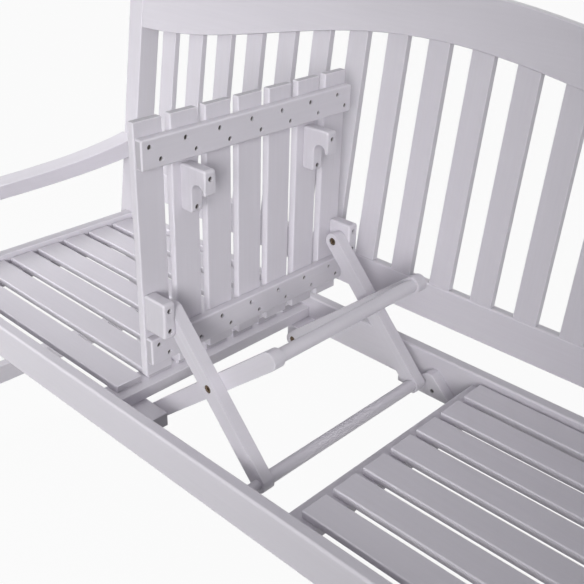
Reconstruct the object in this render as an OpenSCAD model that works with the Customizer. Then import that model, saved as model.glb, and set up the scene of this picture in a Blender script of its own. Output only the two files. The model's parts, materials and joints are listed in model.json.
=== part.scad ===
// Three-seater garden bench whose middle seat is a drop-in tabletop on a folding
// scissor support. X runs along the bench, Y to the back, Z up. The origin is on the
// floor, in the middle of the bench's length and depth.

/* [Bench] */
// Height of the seat slats' top face above the floor
seat_h = 405; // [360:1:460]
// Distance between the inner faces of the two ends
inner_len = 1390; // [1300:1:1600]
// Thickness of the legs and back posts, along the bench
leg_t = 40; // [32:1:50]
// Depth of the legs and back posts, front to back
leg_d = 45; // [36:1:56]

/* [Seat] */
// Number of slats across the depth of the seat
slat_n = 7; // [7:1:7]
// Distance from one seat slat to the next
slat_pitch = 60; // [57:0.5:62]
// Width of a seat slat
slat_w = 46.5; // [42:0.5:50]
// Thickness of a seat slat
slat_t = 12; // [10:0.5:15]
// Radius of the long edges of a slat
slat_r = 2; // [1:0.5:4]
// Half the length of the opening between the left and right seats
seat_gap_half = 192; // [190:0.5:200]
// Thickness of the front and rear seat rails
rail_t = 20; // [16:1:26]
// Height of the seat rails
rail_h = 65; // [58:1:80]
// How far the seat rails stand above the slats
rail_rise = 9; // [4:0.5:14]
// Gap between the front rail and the first slat
front_gap = 20; // [14:0.5:26]
// Gap between the last slat and the rear rail
rear_gap = 5.5; // [3:0.5:10]
// Thickness of the bearers under the slats
bearer_t = 20; // [16:1:24]
// Width of the bearers under the slats
bearer_w = 45; // [35:1:60]
// Width of the ledge that carries the tabletop's ends
ledge_w = 18; // [15:0.5:19]

/* [Back] */
// Lean of the back from upright
back_lean = 7.2; // [4:0.1:10]
// Height of the lower back rail's top above the seat
back_rail_z = 115; // [95:1:140]
// Height of the lower back rail
back_rail_h = 60; // [45:1:75]
// Thickness of the lower back rail
back_rail_t = 19; // [16:0.5:24]
// Number of upright back slats
back_slat_n = 17; // [11:2:19]
// Distance from one back slat to the next
back_pitch = 77; // [70:0.5:80]
// Width of a back slat
back_slat_w = 38; // [30:0.5:44]
// Thickness of a back slat
back_slat_t = 12; // [9:0.5:15]
// Height of the crest rail's lower edge at its ends, above the seat
crest_z = 391; // [360:1:420]
// Rise of the crest rail's arch to the middle
crest_rise = 91; // [40:1:110]
// Height of the crest rail at its ends
crest_h = 76; // [60:1:95]
// Thickness of the crest rail
crest_t = 22; // [18:1:28]
// Height of the back posts above the seat
post_z = 492; // [470:1:540]

/* [Arms] */
// Height of the arm's top at the front, above the seat
arm_z = 147; // [130:1:190]
// Rise of the arm's top towards the back post
arm_rise = 28; // [10:1:40]
// Thickness of the arm at the front
arm_t = 28; // [22:1:34]
// Growth of the arm's thickness towards the back
arm_grow = 10; // [0:1:14]
// How far the arm reaches in front of the front leg
arm_nose = 18; // [6:1:30]
// Height of the side stretchers' middle above the floor
stretcher_z = 150; // [90:1:220]

/* [Tabletop] */
// Clearance between the tabletop's ends and the seat slats
top_clear = 4.75; // [3:0.25:7]
// Width of the two cleats under the tabletop
cleat_w = 41.5; // [36:0.5:46]
// Thickness of the cleats
cleat_t = 14; // [10:0.5:17]
// Distance from the hinge end of the tabletop to its cleat
cleat_in_hinge = 23; // [20:0.5:28]
// Distance from the free end of the tabletop to its cleat
cleat_in_free = 20; // [18:0.5:26]
// Distance from the tabletop's hinge end to its pivot
pivot_in = 105; // [102:0.5:108]
// Distance from the tabletop's underside to its pivot
pivot_drop = 25; // [22:0.5:28]
// Length of a hinge block along the tabletop
hinge_len = 54; // [44:1:60]
// Height of a hinge block below the tabletop
hinge_h = 44; // [40:1:50]
// Thickness of the hinge and hook blocks
block_t = 20; // [16:0.5:22]
// Distance from the tabletop's middle to a hook block's outer face
hook_out = 130.5; // [124:0.5:136]

/* [Support] */
// Width of the scissor legs
arm_w = 27; // [24:0.5:30]
// Thickness of the scissor legs
scissor_t = 19; // [16:0.5:20]
// Diameter of the two dowels that join the scissor legs
dowel_d = 20; // [16:0.5:22]
// Diameter of the dowels' ends, where they are let into the legs
tenon_d = 15; // [12:0.5:16]
// Depth of the upper dowel's holes in the inner legs
dowel_in = 12; // [8:1:14]
// Diameter of the pivot bolts
bolt_d = 8; // [6:0.5:9]
// Diameter of the bolt heads
head_d = 12.5; // [11:0.5:14]
// Height of the bolt heads
head_h = 4; // [3:0.5:5]
// Width of the six-sided sockets in the bolt heads, across their flats
socket_w = 5; // [3:0.5:6]
// Depth of the heads' faces below the wood
head_sunk = 1; // [0.5:0.5:2]
// Depth that the pivot bolts reach into the blocks that hold them
bolt_grip = 16; // [12:1:16]
// Angle of the inner legs as the photograph shows them
inner_angle = 39.7; // [38.5:0.1:40.5]
// Angle of the outer legs as the photograph shows them
outer_angle = 46.9; // [46:0.1:48]
// Distance from the left seat to the inner legs' pivot
pivot_left = 39; // [38:0.5:41]
// Depth of the inner legs' pivot below the seat
pivot_z = 45; // [44.5:0.5:46]
// Distance from the right seat to the lower dowel in its catches
dowel_right = 100.85; // [99:0.05:102]
// Depth of the lower dowel below the seat, when it lies in its catches
dowel_z = 32.1; // [31.5:0.1:34]
// Distance that the lower dowel moves back in its catches when the hooks hold the legs
dowel_back = 14; // [10:0.5:18]
// Distance that the lower dowel drops when it moves back in its catches
dowel_dip = 2.2; // [1:0.1:3]
// Distance from the free-end cleat to the middle of the hooks' arches
hook_from_cleat = 42.25; // [41:0.25:46]
// Depth of the held upper dowel below the tabletop's pivot
hook_drop = 9; // [7:0.1:11]
// Width of the hooks' arches
hook_arch = 23; // [22:0.5:25]
// Length of a hook block
hook_len = 67; // [62:1:72]
// Length of a hook block's foot, from its end to the middle of the arch
hook_foot = 32; // [29:1:35]
// Reach of a hook block from the tabletop's underside
hook_reach = 50.5; // [49:0.5:53]
// Width of the pivot blocks on the rails
pivot_block_w = 60; // [50:1:64]
// Reach of a catch to the left of the lower dowel
catch_left = 45; // [35:1:50]
// Reach of a catch to the right of the lower dowel
catch_right = 61; // [50:1:68]
// Drop of a catch's horn below the stowed slats
horn_drop = 3.5; // [1:0.5:5]
// Reach of a catch's horn past the lower dowel
horn_x = 22; // [18:1:26]
// Thickness of the catches on the rails
catch_t = 20; // [16:0.5:24]

/* [Fits] */
// Radial clearance of a bolt in the hole that turns on it
run_fit = 0.1; // [0.05:0.01:0.1]
// Side clearance between pieces that move past each other
side_gap = 0.6; // [0.4:0.1:1]
// Gap between the stowed tabletop and the ledges that stop it
stow_gap = 0.3; // [0.2:0.1:1]
// Clearance round the lower dowel in its catch, and the upper dowel in its hooks
hook_fit = 0.8; // [0.5:0.1:1.5]

/* [Hidden] */
$fn = 48;
white = [0.93, 0.93, 0.95];
bronze = [0.33, 0.27, 0.21];
seat_y = ((slat_n - 1) * slat_pitch + slat_w) / 2;
rail_front_y = -seat_y - front_gap;
rail_rear_y = seat_y + rear_gap;
end_x = inner_len / 2;
rail_z = rail_rise - rail_h;
bearer_x = seat_gap_half - ledge_w;
ease = 2;
rail_r = 4;
back_rail_r = 3;
hinge_r = 3;
hook_r = 5;
post_r = 10;
leg_set = 10;
leg_front_y = rail_front_y - rail_t - leg_set;
post_set = 7;
lean_slope = tan(back_lean);
back_set = 24;
back_y = rail_rear_y + back_set;
kink_z = -20;
splay = 4;
arm_w_x = 45;
arm_in_post = 8;
arm_in_leg = 5;
stretcher_h = 40;
stretcher_t = 20;
slat_inset = 3;
bolt_short = 2;
head_play = 0.4;
side_inset = 1;
top_half = seat_gap_half - top_clear;
top_z = -slat_t;
post_front_y = back_y - post_set / cos(back_lean) - (back_rail_z - kink_z) * lean_slope;
post_top_y = post_front_y + (post_z - kink_z) * lean_slope;
post_depth = leg_d / cos(back_lean);
arm_y0 = leg_front_y - arm_nose;
arm_y1 = post_front_y + (arm_z - kink_z) * lean_slope + arm_in_post;
mid_y = (arm_y0 + post_top_y + post_depth) / 2;

// Scissor geometry, in the plane across the bench: [x, z] from the seat's top face.
// The photographed angles and the two points that rest on the rails give the legs' lower
// lengths, and the hooks' place on the raised, flat tabletop gives their upper lengths.
inner_pivot = [-seat_gap_half + pivot_left, -pivot_z];
lower_dowel_at = [seat_gap_half - dowel_right, -dowel_z];
base = lower_dowel_at - inner_pivot;
base_angle = atan2(base[1], base[0]);
apex = 180 - inner_angle - outer_angle;
inner_low = norm(base) * sin(outer_angle + base_angle) / sin(apex);
outer_low = norm(base) * sin(inner_angle - base_angle) / sin(apex);
hook_dowel = [2 * top_half - cleat_in_free - cleat_w - hook_from_cleat - pivot_in, -hook_drop];
hook_angle = atan2(hook_dowel[1], hook_dowel[0]);
held_base = base - [dowel_back, dowel_dip];
held_apex = corner(inner_low, outer_low, norm(held_base));
held_inner = atan2(held_base[1], held_base[0]) + corner(norm(held_base), inner_low, outer_low);
held_outer = 180 - held_apex - held_inner;
outer_up = norm(hook_dowel) * sin(held_inner - hook_angle) / sin(held_apex);
inner_up = norm(hook_dowel) * sin(held_outer + hook_angle) / sin(held_apex);

// Angle between two sides of a triangle, from their lengths and the far side's
function corner(a, b, far) = acos((a * a + b * b - far * far) / (2 * a * b));

mid_rest = inner_pivot + inner_low * [cos(inner_angle), sin(inner_angle)];
upper_dowel_at = mid_rest + inner_up * [cos(inner_angle), sin(inner_angle)];
top_pivot = mid_rest + outer_up * [-cos(outer_angle), sin(outer_angle)];

// Stowed: the tabletop lies flush, and the two legs and their pivots close a triangle
stow_pivot = [-top_half + pivot_in, top_z + stow_gap - pivot_drop];
stow_span = stow_pivot - inner_pivot;
stow_inner = atan2(stow_span[1], stow_span[0]) - corner(norm(stow_span), inner_low, outer_up);
stow_mid = inner_pivot + inner_low * [cos(stow_inner), sin(stow_inner)];
stow_outer = atan2(stow_mid[1] - stow_pivot[1], stow_mid[0] - stow_pivot[0]);
fold_range = inner_angle - stow_inner;
cross_range = stow_outer + outer_angle + fold_range;
top_range = 90 + stow_outer + outer_angle;
echo(fold_range = fold_range, cross_range = cross_range, top_range = top_range);
echo(cross_ratio = cross_range / fold_range, top_ratio = top_range / fold_range);
echo(inner_low = inner_low, inner_up = inner_up, outer_low = outer_low, outer_up = outer_up);
echo(held_inner = held_inner, held_outer = held_outer, hook_dowel = hook_dowel);
echo(mid_y = mid_y, inner_pivot = inner_pivot, mid = mid_rest, top_pivot = top_pivot,
     upper_dowel = upper_dowel_at, lower_dowel = lower_dowel_at);
echo(lower_dowel_stowed = stow_mid + outer_low * [cos(stow_outer), sin(stow_outer)]);

// Layers of the mechanism, as distances from the middle plane
hinge_out = seat_y - side_inset;
hinge_in = hinge_out - block_t;
outer_out = hinge_in - side_gap;
outer_in = outer_out - scissor_t;
inner_out = outer_in - side_gap;
inner_in = inner_out - scissor_t;
dowel_end = inner_in + dowel_in;
catch_rear_y = rail_rear_y - catch_t;
catch_front_y = rail_front_y + catch_t;

// Rectangle with round corners, centred
module round_rect(w, h, r) {
    square([w - 2 * r, h], center = true);
    square([w, h - 2 * r], center = true);
    for (sx = [-1, 1], sy = [-1, 1])
        translate([sx * (w / 2 - r), sy * (h / 2 - r)]) circle(r = r);
}

// Bar along X with round long edges, between two X values, given its lower front corner
module bar_x(x0, x1, y, z, d, h, r) {
    translate([x0, y + d / 2, z + h / 2])
        rotate([90, 0, 90]) linear_extrude(x1 - x0) round_rect(d, h, r);
}

// Moves to the seat's top face, over the middle of the slats
module at_seat() {
    translate([0, -mid_y, seat_h]) children();
}

// Extrudes a profile drawn in X and Z towards the back, between two Y values
module plate_xz(y0, y1) {
    translate([0, y1, 0]) rotate([90, 0, 0]) linear_extrude(y1 - y0) children();
}

// Extrudes a profile drawn in Y and Z along the bench, between two X values
module plate_yz(x0, x1) {
    translate([x0, 0, 0]) rotate([90, 0, 90]) linear_extrude(x1 - x0) children();
}

// One slat of a seat or of the tabletop, by its number from the front
module slat_at(i, x0, x1) {
    bar_x(x0, x1, -seat_y + (i - 1) * slat_pitch, -slat_t, slat_w, slat_t, slat_r);
}

// Frame of the seat
module front_rail() {
    color(white) at_seat()
        bar_x(-end_x, end_x, rail_front_y - rail_t, rail_z, rail_t, rail_h, rail_r);
}

module rear_rail() {
    color(white) at_seat()
        bar_x(-end_x, end_x, rail_rear_y, rail_z, rail_t, rail_h, back_rail_r);
}

module side_rail(side) {
    color(white) at_seat() difference() {
        translate([side > 0 ? end_x : -end_x - rail_t, leg_front_y + leg_d, rail_z])
            cube([rail_t, back_y - leg_front_y - leg_d, rail_h]);
        post_solid(side);
    }
}

module inner_bearer(side) {
    x0 = side > 0 ? bearer_x : -bearer_x - bearer_w;
    color(white) at_seat() translate([x0, rail_front_y, -slat_t - bearer_t])
        cube([bearer_w, rail_rear_y - rail_front_y, bearer_t]);
}

module outer_bearer(side) {
    x0 = side > 0 ? end_x - bearer_w : -end_x;
    color(white) at_seat() translate([x0, rail_front_y, -slat_t - bearer_t])
        cube([bearer_w, rail_rear_y - rail_front_y, bearer_t]);
}

module seat_slat(side, i) {
    outer = end_x - slat_inset;
    color(white) at_seat()
        slat_at(i, side > 0 ? seat_gap_half : -outer, side > 0 ? outer : -seat_gap_half);
}

// Ends: legs, posts, arms and stretchers
function arm_s(y) = pow(max(0, (y - arm_y0) / (arm_y1 - arm_y0)), 4);
function arm_top(y) = arm_z + arm_rise * arm_s(y);
function arm_under(y) = arm_z - arm_t + (arm_rise - arm_grow) * arm_s(y);

module front_leg(side) {
    x0 = side > 0 ? end_x : -end_x - leg_t;
    color(white) at_seat() difference() {
        translate([x0, leg_front_y, -seat_h]) cube([leg_t, leg_d, seat_h + arm_z - arm_in_leg]);
        plate_yz(x0 - 1, x0 + leg_t + 1) arm_profile();
    }
}

module post_profile() {
    foot = (kink_z + seat_h) * tan(splay);
    up = post_top_y - post_front_y;
    depth = post_depth;
    r = post_r;
    polygon(concat(
        [[post_front_y + foot, -seat_h], [post_front_y + foot + leg_d, -seat_h],
         [post_front_y + depth, kink_z]],
        [for (a = [0:15:90]) [post_front_y + up + depth - r + r * cos(a), post_z - r + r * sin(a)]],
        [for (a = [90:15:180]) [post_front_y + up + r + r * cos(a), post_z - r + r * sin(a)]],
        [[post_front_y, kink_z]]));
}

module post_solid(side) {
    plate_yz(side > 0 ? end_x : -end_x - leg_t, side > 0 ? end_x + leg_t : -end_x)
        post_profile();
}

module back_post(side) {
    color(white) at_seat() post_solid(side);
}

// An arm's outline, reaching into the post behind it
module arm_profile() {
    n = 20;
    nose = arm_t / 2;
    ys = [for (k = [0:n]) arm_y0 + nose + (arm_y1 - arm_y0 - nose) * k / n];
    polygon(concat(
        [for (k = [0:n]) [ys[k], arm_top(ys[k])]],
        [for (k = [n:-1:0]) [ys[k], arm_under(ys[k])]],
        [for (a = [255:-15:105]) [ys[0] + nose * cos(a), arm_z - nose + nose * sin(a)]]));
}

module arm(side) {
    x0 = side > 0 ? end_x : -end_x - arm_w_x;
    color(white) at_seat() difference() {
        plate_yz(x0, x0 + arm_w_x) arm_profile();
        plate_yz(x0 - 1, x0 + arm_w_x + 1) post_profile();
    }
}

module side_stretcher(side) {
    h = stretcher_h;
    t = stretcher_t;
    x0 = side > 0 ? end_x + (leg_t - t) / 2 : -end_x - (leg_t + t) / 2;
    y0 = leg_front_y + leg_d;
    y1 = post_front_y + (kink_z - stretcher_z + seat_h) * tan(splay) + leg_d / 2;
    color(white) at_seat() difference() {
        translate([x0, y0, stretcher_z - seat_h - h / 2]) cube([t, y1 - y0, h]);
        post_solid(side);
    }
}

// Back, drawn upright and leant about the lower rail's upper front edge
module at_back() {
    translate([0, back_y, back_rail_z]) rotate([-back_lean, 0, 0]) children();
}

function arch(x) = crest_rise * (1 + cos(180 * x / end_x)) / 2;
function up_lean(z) = (z - back_rail_z) / cos(back_lean);

module crest_outline() {
    n = 40;
    xs = [for (k = [0:n]) -end_x + 2 * end_x * k / n];
    polygon(concat(
        [for (k = [0:n]) [xs[k], up_lean(crest_z + arch(xs[k]))]],
        [for (k = [n:-1:0]) [xs[k], up_lean(crest_z + crest_h + arch(xs[k]))]]));
}

module crest_rail() {
    color(white) at_seat() at_back()
        plate_xz((back_slat_t - crest_t) / 2, (back_slat_t + crest_t) / 2) crest_outline();
}

module lower_back_rail() {
    color(white) at_seat() at_back()
        bar_x(-end_x, end_x, 0, -back_rail_h, back_rail_t, back_rail_h, back_rail_r);
}

// The upright slats, their tops cut to the crest rail's lower edge
module back_slats() {
    color(white) at_seat() at_back() difference() {
        for (k = [0:back_slat_n - 1]) {
            x = (k - (back_slat_n - 1) / 2) * back_pitch;
            translate([x - back_slat_w / 2, 0, 0])
                cube([back_slat_w, back_slat_t, up_lean(crest_z + arch(x) + crest_h / 3)]);
        }
        plate_xz(-1, back_slat_t + 1) crest_outline();
    }
}

// Support: blocks on the rails
module pivot_block(side) {
    z0 = -slat_t - bearer_t;
    h = rail_h - rail_rise - slat_t - bearer_t;
    y0 = side > 0 ? inner_out + side_gap : rail_front_y;
    y1 = side > 0 ? rail_rear_y : -inner_out - side_gap;
    color(white) at_seat() difference() {
        translate([inner_pivot[0] - pivot_block_w / 2, y0, z0 - h])
            cube([pivot_block_w, y1 - y0, h]);
        translate([inner_pivot[0], 0, inner_pivot[1]]) rotate([90, 0, 0])
            cylinder(d = bolt_d, h = 2 * (inner_out + side_gap + bolt_grip), center = true);
    }
}

// A catch: a block open to the left, with a round cup for the lower dowel's end, a horn over
// the cup and a floor that drops to the left of it
module catch_profile() {
    x = lower_dowel_at[0];
    r = tenon_d / 2 + hook_fit;
    cup = lower_dowel_at[1];
    floor = cup - r - dowel_dip;
    under = rail_z;
    top = top_z - horn_drop;
    back = top_half - cleat_in_free - cleat_w;
    difference() {
        polygon([[x - catch_left, under + ease], [x - catch_left + ease, under],
            [x + catch_right - ease, under], [x + catch_right, under + ease],
            [back - side_gap, top_z - cleat_t - ease], [x + horn_x, top - ease],
            [x + horn_x - ease, top], [x + horn_x / 2, top], [x + ease, cup + r + ease],
            [x, cup], [x, cup - r], [x - dowel_back, floor],
            [x - catch_left + 2 * ease, floor], [x - catch_left, floor - 2 * ease]]);
        translate([x, cup]) circle(r = r);
    }
}

module catch_block(side) {
    y0 = side > 0 ? catch_rear_y : rail_front_y;
    color(white) at_seat() plate_xz(y0, y0 + catch_t) catch_profile();
}

// Tabletop, drawn flat with its pivot at the origin, then stood up as photographed
module at_top() {
    at_seat() translate([top_pivot[0], 0, top_pivot[1]]) rotate([0, -90, 0]) children();
}

module table_slat(i) {
    color(white) at_top() translate([0, 0, pivot_drop + slat_t])
        slat_at(i, -pivot_in, 2 * top_half - pivot_in);
}

module cleat(x0) {
    color(white) at_top() translate([0, 0, pivot_drop - cleat_t])
        translate([x0 - pivot_in, -hinge_out, 0]) cube([cleat_w, 2 * hinge_out, cleat_t]);
}

module cleat_hinge_end() {
    cleat(cleat_in_hinge);
}

module cleat_free_end() {
    cleat(2 * top_half - cleat_in_free - cleat_w);
}

module hinge_block(side) {
    y0 = side > 0 ? hinge_in : -hinge_out;
    color(white) at_top() difference() {
        plate_xz(y0, y0 + block_t) translate([0, pivot_drop - hinge_h / 2])
            round_rect(hinge_len, hinge_h, hinge_r);
        rotate([90, 0, 0]) cylinder(d = bolt_d, h = 2 * (hinge_in + bolt_grip), center = true);
    }
}

// A hook block: a foot along the tabletop, and a lobe whose round arch takes the upper dowel
// when the tabletop is laid flat on the raised support
module hook_profile() {
    x = hook_dowel[0];
    wall = hook_dowel[1] + dowel_d / 2 + hook_fit;
    foot = x - hook_foot;
    lobe = foot + hook_len - x;
    low = pivot_drop - hook_reach;
    difference() {
        union() {
            translate([foot, wall]) square([hook_len, pivot_drop - wall]);
            translate([x, low]) square([lobe / 2, hook_reach]);
            translate([x + lobe / 2, low + hook_reach / 2])
                round_rect(lobe, hook_reach, hook_r);
        }
        translate([x, wall - hook_arch / 2]) circle(d = hook_arch);
    }
}

module hook_block(side) {
    y0 = side > 0 ? hook_out - block_t : -hook_out;
    color(white) at_top() plate_xz(y0, y0 + block_t) hook_profile();
}

// Scissor legs: straight bars with round ends, drawn from the middle bolt
module leg_profile(toward, away) {
    translate([-away, -arm_w / 2]) square([toward + away, arm_w]);
    translate([toward, 0]) circle(d = arm_w);
    translate([-away, 0]) circle(d = arm_w);
}

// Hole across the legs at a place along them
module cross_hole(x, d) {
    translate([x, 0, 0]) rotate([90, 0, 0]) cylinder(d = d, h = 3 * seat_y, center = true);
}

// Counterbore that holds a bolt's head in the leg's face at y, opening towards dir
module head_hole(x, y, dir) {
    translate([x, y - dir * (head_h + head_sunk), 0]) rotate([-90 * dir, 0, 0])
        cylinder(d = head_d + head_play, h = head_h + head_sunk + 1);
}

module at_outer() {
    at_seat() translate([mid_rest[0], 0, mid_rest[1]]) rotate([0, outer_angle, 0]) children();
}

module at_inner() {
    at_seat() translate([mid_rest[0], 0, mid_rest[1]]) rotate([0, -inner_angle, 0]) children();
}

module outer_leg(side) {
    y0 = side > 0 ? outer_in : -outer_out;
    color(white) at_outer() difference() {
        plate_xz(y0, y0 + scissor_t) leg_profile(outer_low, outer_up);
        cross_hole(0, bolt_d + 2 * run_fit);
        cross_hole(-outer_up, bolt_d + 2 * run_fit);
        cross_hole(outer_low, tenon_d);
        head_hole(0, side * outer_out, side);
        head_hole(-outer_up, side * outer_in, -side);
    }
}

// A dowel along Y, its ends turned down where they are let into the legs
module turned_dowel(y_low, y_high, shoulder) {
    translate([0, y_low, 0]) rotate([-90, 0, 0]) cylinder(d = tenon_d, h = y_high - y_low);
    rotate([90, 0, 0]) cylinder(d = dowel_d, h = 2 * shoulder, center = true);
}

module lower_dowel() {
    color(white) at_outer() translate([outer_low, 0, 0])
        turned_dowel(catch_front_y + side_gap, catch_rear_y - side_gap, outer_in);
}

module inner_leg(side) {
    y0 = side > 0 ? inner_in : -inner_out;
    color(white) at_inner() difference() {
        plate_xz(y0, y0 + scissor_t) leg_profile(inner_up, inner_low);
        cross_hole(0, bolt_d);
        cross_hole(-inner_low, bolt_d + 2 * run_fit);
        translate([inner_up, 0, 0]) rotate([90, 0, 0])
            cylinder(d = tenon_d, h = 2 * dowel_end, center = true);
        head_hole(-inner_low, side * inner_in, -side);
    }
}

module upper_dowel() {
    color(white) at_inner() translate([inner_up, 0, 0])
        turned_dowel(-dowel_end, dowel_end, inner_in);
}

// A pivot bolt along Y: its head's outer face at y, and its shank reaching length past it
module bolt(y, dir, length) {
    translate([0, y, 0]) rotate([90 * dir, 0, 0]) difference() {
        union() {
            cylinder(d = head_d, h = head_h);
            cylinder(d = bolt_d, h = length);
        }
        translate([0, 0, -1]) cylinder(d = socket_w / cos(30), h = head_h, $fn = 6);
    }
}

module table_pivot_bolts() {
    color(bronze) at_top() for (s = [-1, 1])
        bolt(s * (outer_in + head_sunk), -s, scissor_t - head_sunk + side_gap + bolt_grip);
}

module middle_bolts() {
    color(bronze) at_inner() for (s = [-1, 1])
        bolt(s * (outer_out - head_sunk), s, 2 * scissor_t + side_gap - head_sunk - bolt_short);
}

module support_pivot_bolts() {
    color(bronze) at_seat() translate([inner_pivot[0], 0, inner_pivot[1]]) for (s = [-1, 1])
        bolt(s * (inner_in + head_sunk), -s, scissor_t - head_sunk + side_gap + bolt_grip);
}

front_rail();
rear_rail();
side_rail(-1);  // side_rail_left
side_rail(1);  // side_rail_right
inner_bearer(-1);  // inner_bearer_left
inner_bearer(1);  // inner_bearer_right
outer_bearer(-1);  // outer_bearer_left
outer_bearer(1);  // outer_bearer_right
front_leg(-1);  // front_leg_left
front_leg(1);  // front_leg_right
back_post(-1);  // back_post_left
back_post(1);  // back_post_right
arm(-1);  // arm_left
arm(1);  // arm_right
side_stretcher(-1);  // side_stretcher_left
side_stretcher(1);  // side_stretcher_right
crest_rail();
lower_back_rail();
back_slats();
seat_slat(-1, 1);  // left_seat_slat_1
seat_slat(-1, 2);  // left_seat_slat_2
seat_slat(-1, 3);  // left_seat_slat_3
seat_slat(-1, 4);  // left_seat_slat_4
seat_slat(-1, 5);  // left_seat_slat_5
seat_slat(-1, 6);  // left_seat_slat_6
seat_slat(-1, 7);  // left_seat_slat_7
seat_slat(1, 1);  // right_seat_slat_1
seat_slat(1, 2);  // right_seat_slat_2
seat_slat(1, 3);  // right_seat_slat_3
seat_slat(1, 4);  // right_seat_slat_4
seat_slat(1, 5);  // right_seat_slat_5
seat_slat(1, 6);  // right_seat_slat_6
seat_slat(1, 7);  // right_seat_slat_7
pivot_block(-1);  // pivot_block_front
pivot_block(1);  // pivot_block_rear
catch_block(-1);  // catch_front
catch_block(1);  // catch_rear
table_slat(1);  // table_slat_1
table_slat(2);  // table_slat_2
table_slat(3);  // table_slat_3
table_slat(4);  // table_slat_4
table_slat(5);  // table_slat_5
table_slat(6);  // table_slat_6
table_slat(7);  // table_slat_7
cleat_hinge_end();
cleat_free_end();
hinge_block(-1);  // hinge_block_front
hinge_block(1);  // hinge_block_rear
hook_block(-1);  // hook_block_front
hook_block(1);  // hook_block_rear
outer_leg(-1);  // outer_leg_front
outer_leg(1);  // outer_leg_rear
lower_dowel();
inner_leg(-1);  // inner_leg_front
inner_leg(1);  // inner_leg_rear
upper_dowel();
table_pivot_bolts();
middle_bolts();
support_pivot_bolts();
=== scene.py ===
"""Three-seater garden bench in white paint, its middle seat raised as a folding table.

The file is laid out as a Blender add-on. Run as a script it builds every piece round the
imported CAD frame, in metres, with the support raised and the tabletop upright.
"""

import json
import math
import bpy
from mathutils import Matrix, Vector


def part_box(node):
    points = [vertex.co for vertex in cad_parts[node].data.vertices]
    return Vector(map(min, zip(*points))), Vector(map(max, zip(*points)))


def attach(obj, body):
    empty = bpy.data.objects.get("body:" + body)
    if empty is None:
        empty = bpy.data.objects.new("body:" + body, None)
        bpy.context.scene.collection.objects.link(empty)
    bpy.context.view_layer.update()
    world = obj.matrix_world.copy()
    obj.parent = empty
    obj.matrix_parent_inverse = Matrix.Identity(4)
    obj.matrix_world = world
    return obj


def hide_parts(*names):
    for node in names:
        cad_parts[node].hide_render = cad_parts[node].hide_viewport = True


bl_info = {
    "name": "Bench with a fold-up middle seat",
    "version": (1, 0, 0),
    "blender": (4, 5, 0),
    "location": "3D View > Sidebar > Bench",
    "description": "Dresses a slatted garden bench in painted wood",
    "category": "Object",
}

import bmesh
import bpy
from bpy.props import FloatProperty, FloatVectorProperty, IntProperty, PointerProperty
from mathutils import Matrix, Vector
from mathutils.geometry import delaunay_2d_cdt

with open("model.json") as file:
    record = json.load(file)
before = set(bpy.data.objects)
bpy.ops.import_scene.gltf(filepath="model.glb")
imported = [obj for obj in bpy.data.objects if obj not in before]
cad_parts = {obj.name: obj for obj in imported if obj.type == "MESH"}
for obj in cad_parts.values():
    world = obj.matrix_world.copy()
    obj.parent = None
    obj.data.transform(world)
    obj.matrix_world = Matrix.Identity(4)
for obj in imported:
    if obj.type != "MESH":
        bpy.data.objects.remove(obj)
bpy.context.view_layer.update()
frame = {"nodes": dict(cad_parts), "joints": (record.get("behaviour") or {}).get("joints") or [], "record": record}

BODIES = frame["record"]["behaviour"]["bodies"]
BODY_OF = {node: body for body, nodes in BODIES.items() for node in nodes}
JOINTS = {joint["name"]: joint for joint in frame["joints"]}

X, Y, Z = Vector((1, 0, 0)), Vector((0, 1, 0)), Vector((0, 0, 1))
BACK_LEAN = math.radians(7.2)
LEANING = Vector((0, math.sin(BACK_LEAN), math.cos(BACK_LEAN)))


def joint_point(name):
    """Where a joint's axis is, in the frame."""
    return Vector(JOINTS[name]["pos_m"])


def along_leg(low, high):
    """Unit vector from one joint to another, for the grain of a leg between them."""
    return (joint_point(high) - joint_point(low)).normalized()


INNER_LEG = along_leg("support_fold", "cross_fold")
OUTER_LEG = along_leg("cross_fold", "tabletop_swing")


# Settings


class PaintSettings(bpy.types.PropertyGroup):
    """The paint and the bolts' finish"""

    colour: FloatVectorProperty(
        name="Paint", description="Colour of the paint", subtype="COLOR", size=3,
        min=0, max=1, default=(0.70, 0.675, 0.724))
    worn_colour: FloatVectorProperty(
        name="Worn paint", description="Colour where the paint is thin or soiled", subtype="COLOR",
        size=3, min=0, max=1, default=(0.52, 0.50, 0.50))
    # Painted shade: the screw hole walls darken to this colour towards their bottoms
    hole_shade: FloatVectorProperty(
        name="Screw hole walls", description="Colour of the bare wood inside the screw holes",
        subtype="COLOR", size=3, min=0, max=1, default=(0.10, 0.085, 0.075))
    gloss: FloatProperty(
        name="Roughness", description="Roughness of the paint", subtype="FACTOR", min=0, max=1,
        default=0.32)
    bronze: FloatVectorProperty(
        name="Bolts", description="Colour of the bolts", subtype="COLOR", size=3, min=0, max=1,
        default=(0.165, 0.12, 0.08))
    grain_depth: FloatProperty(
        name="Grain depth", description="How far the grain shows through the paint",
        subtype="DISTANCE", unit="LENGTH", min=0, max=0.001, default=0.00012)


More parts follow.
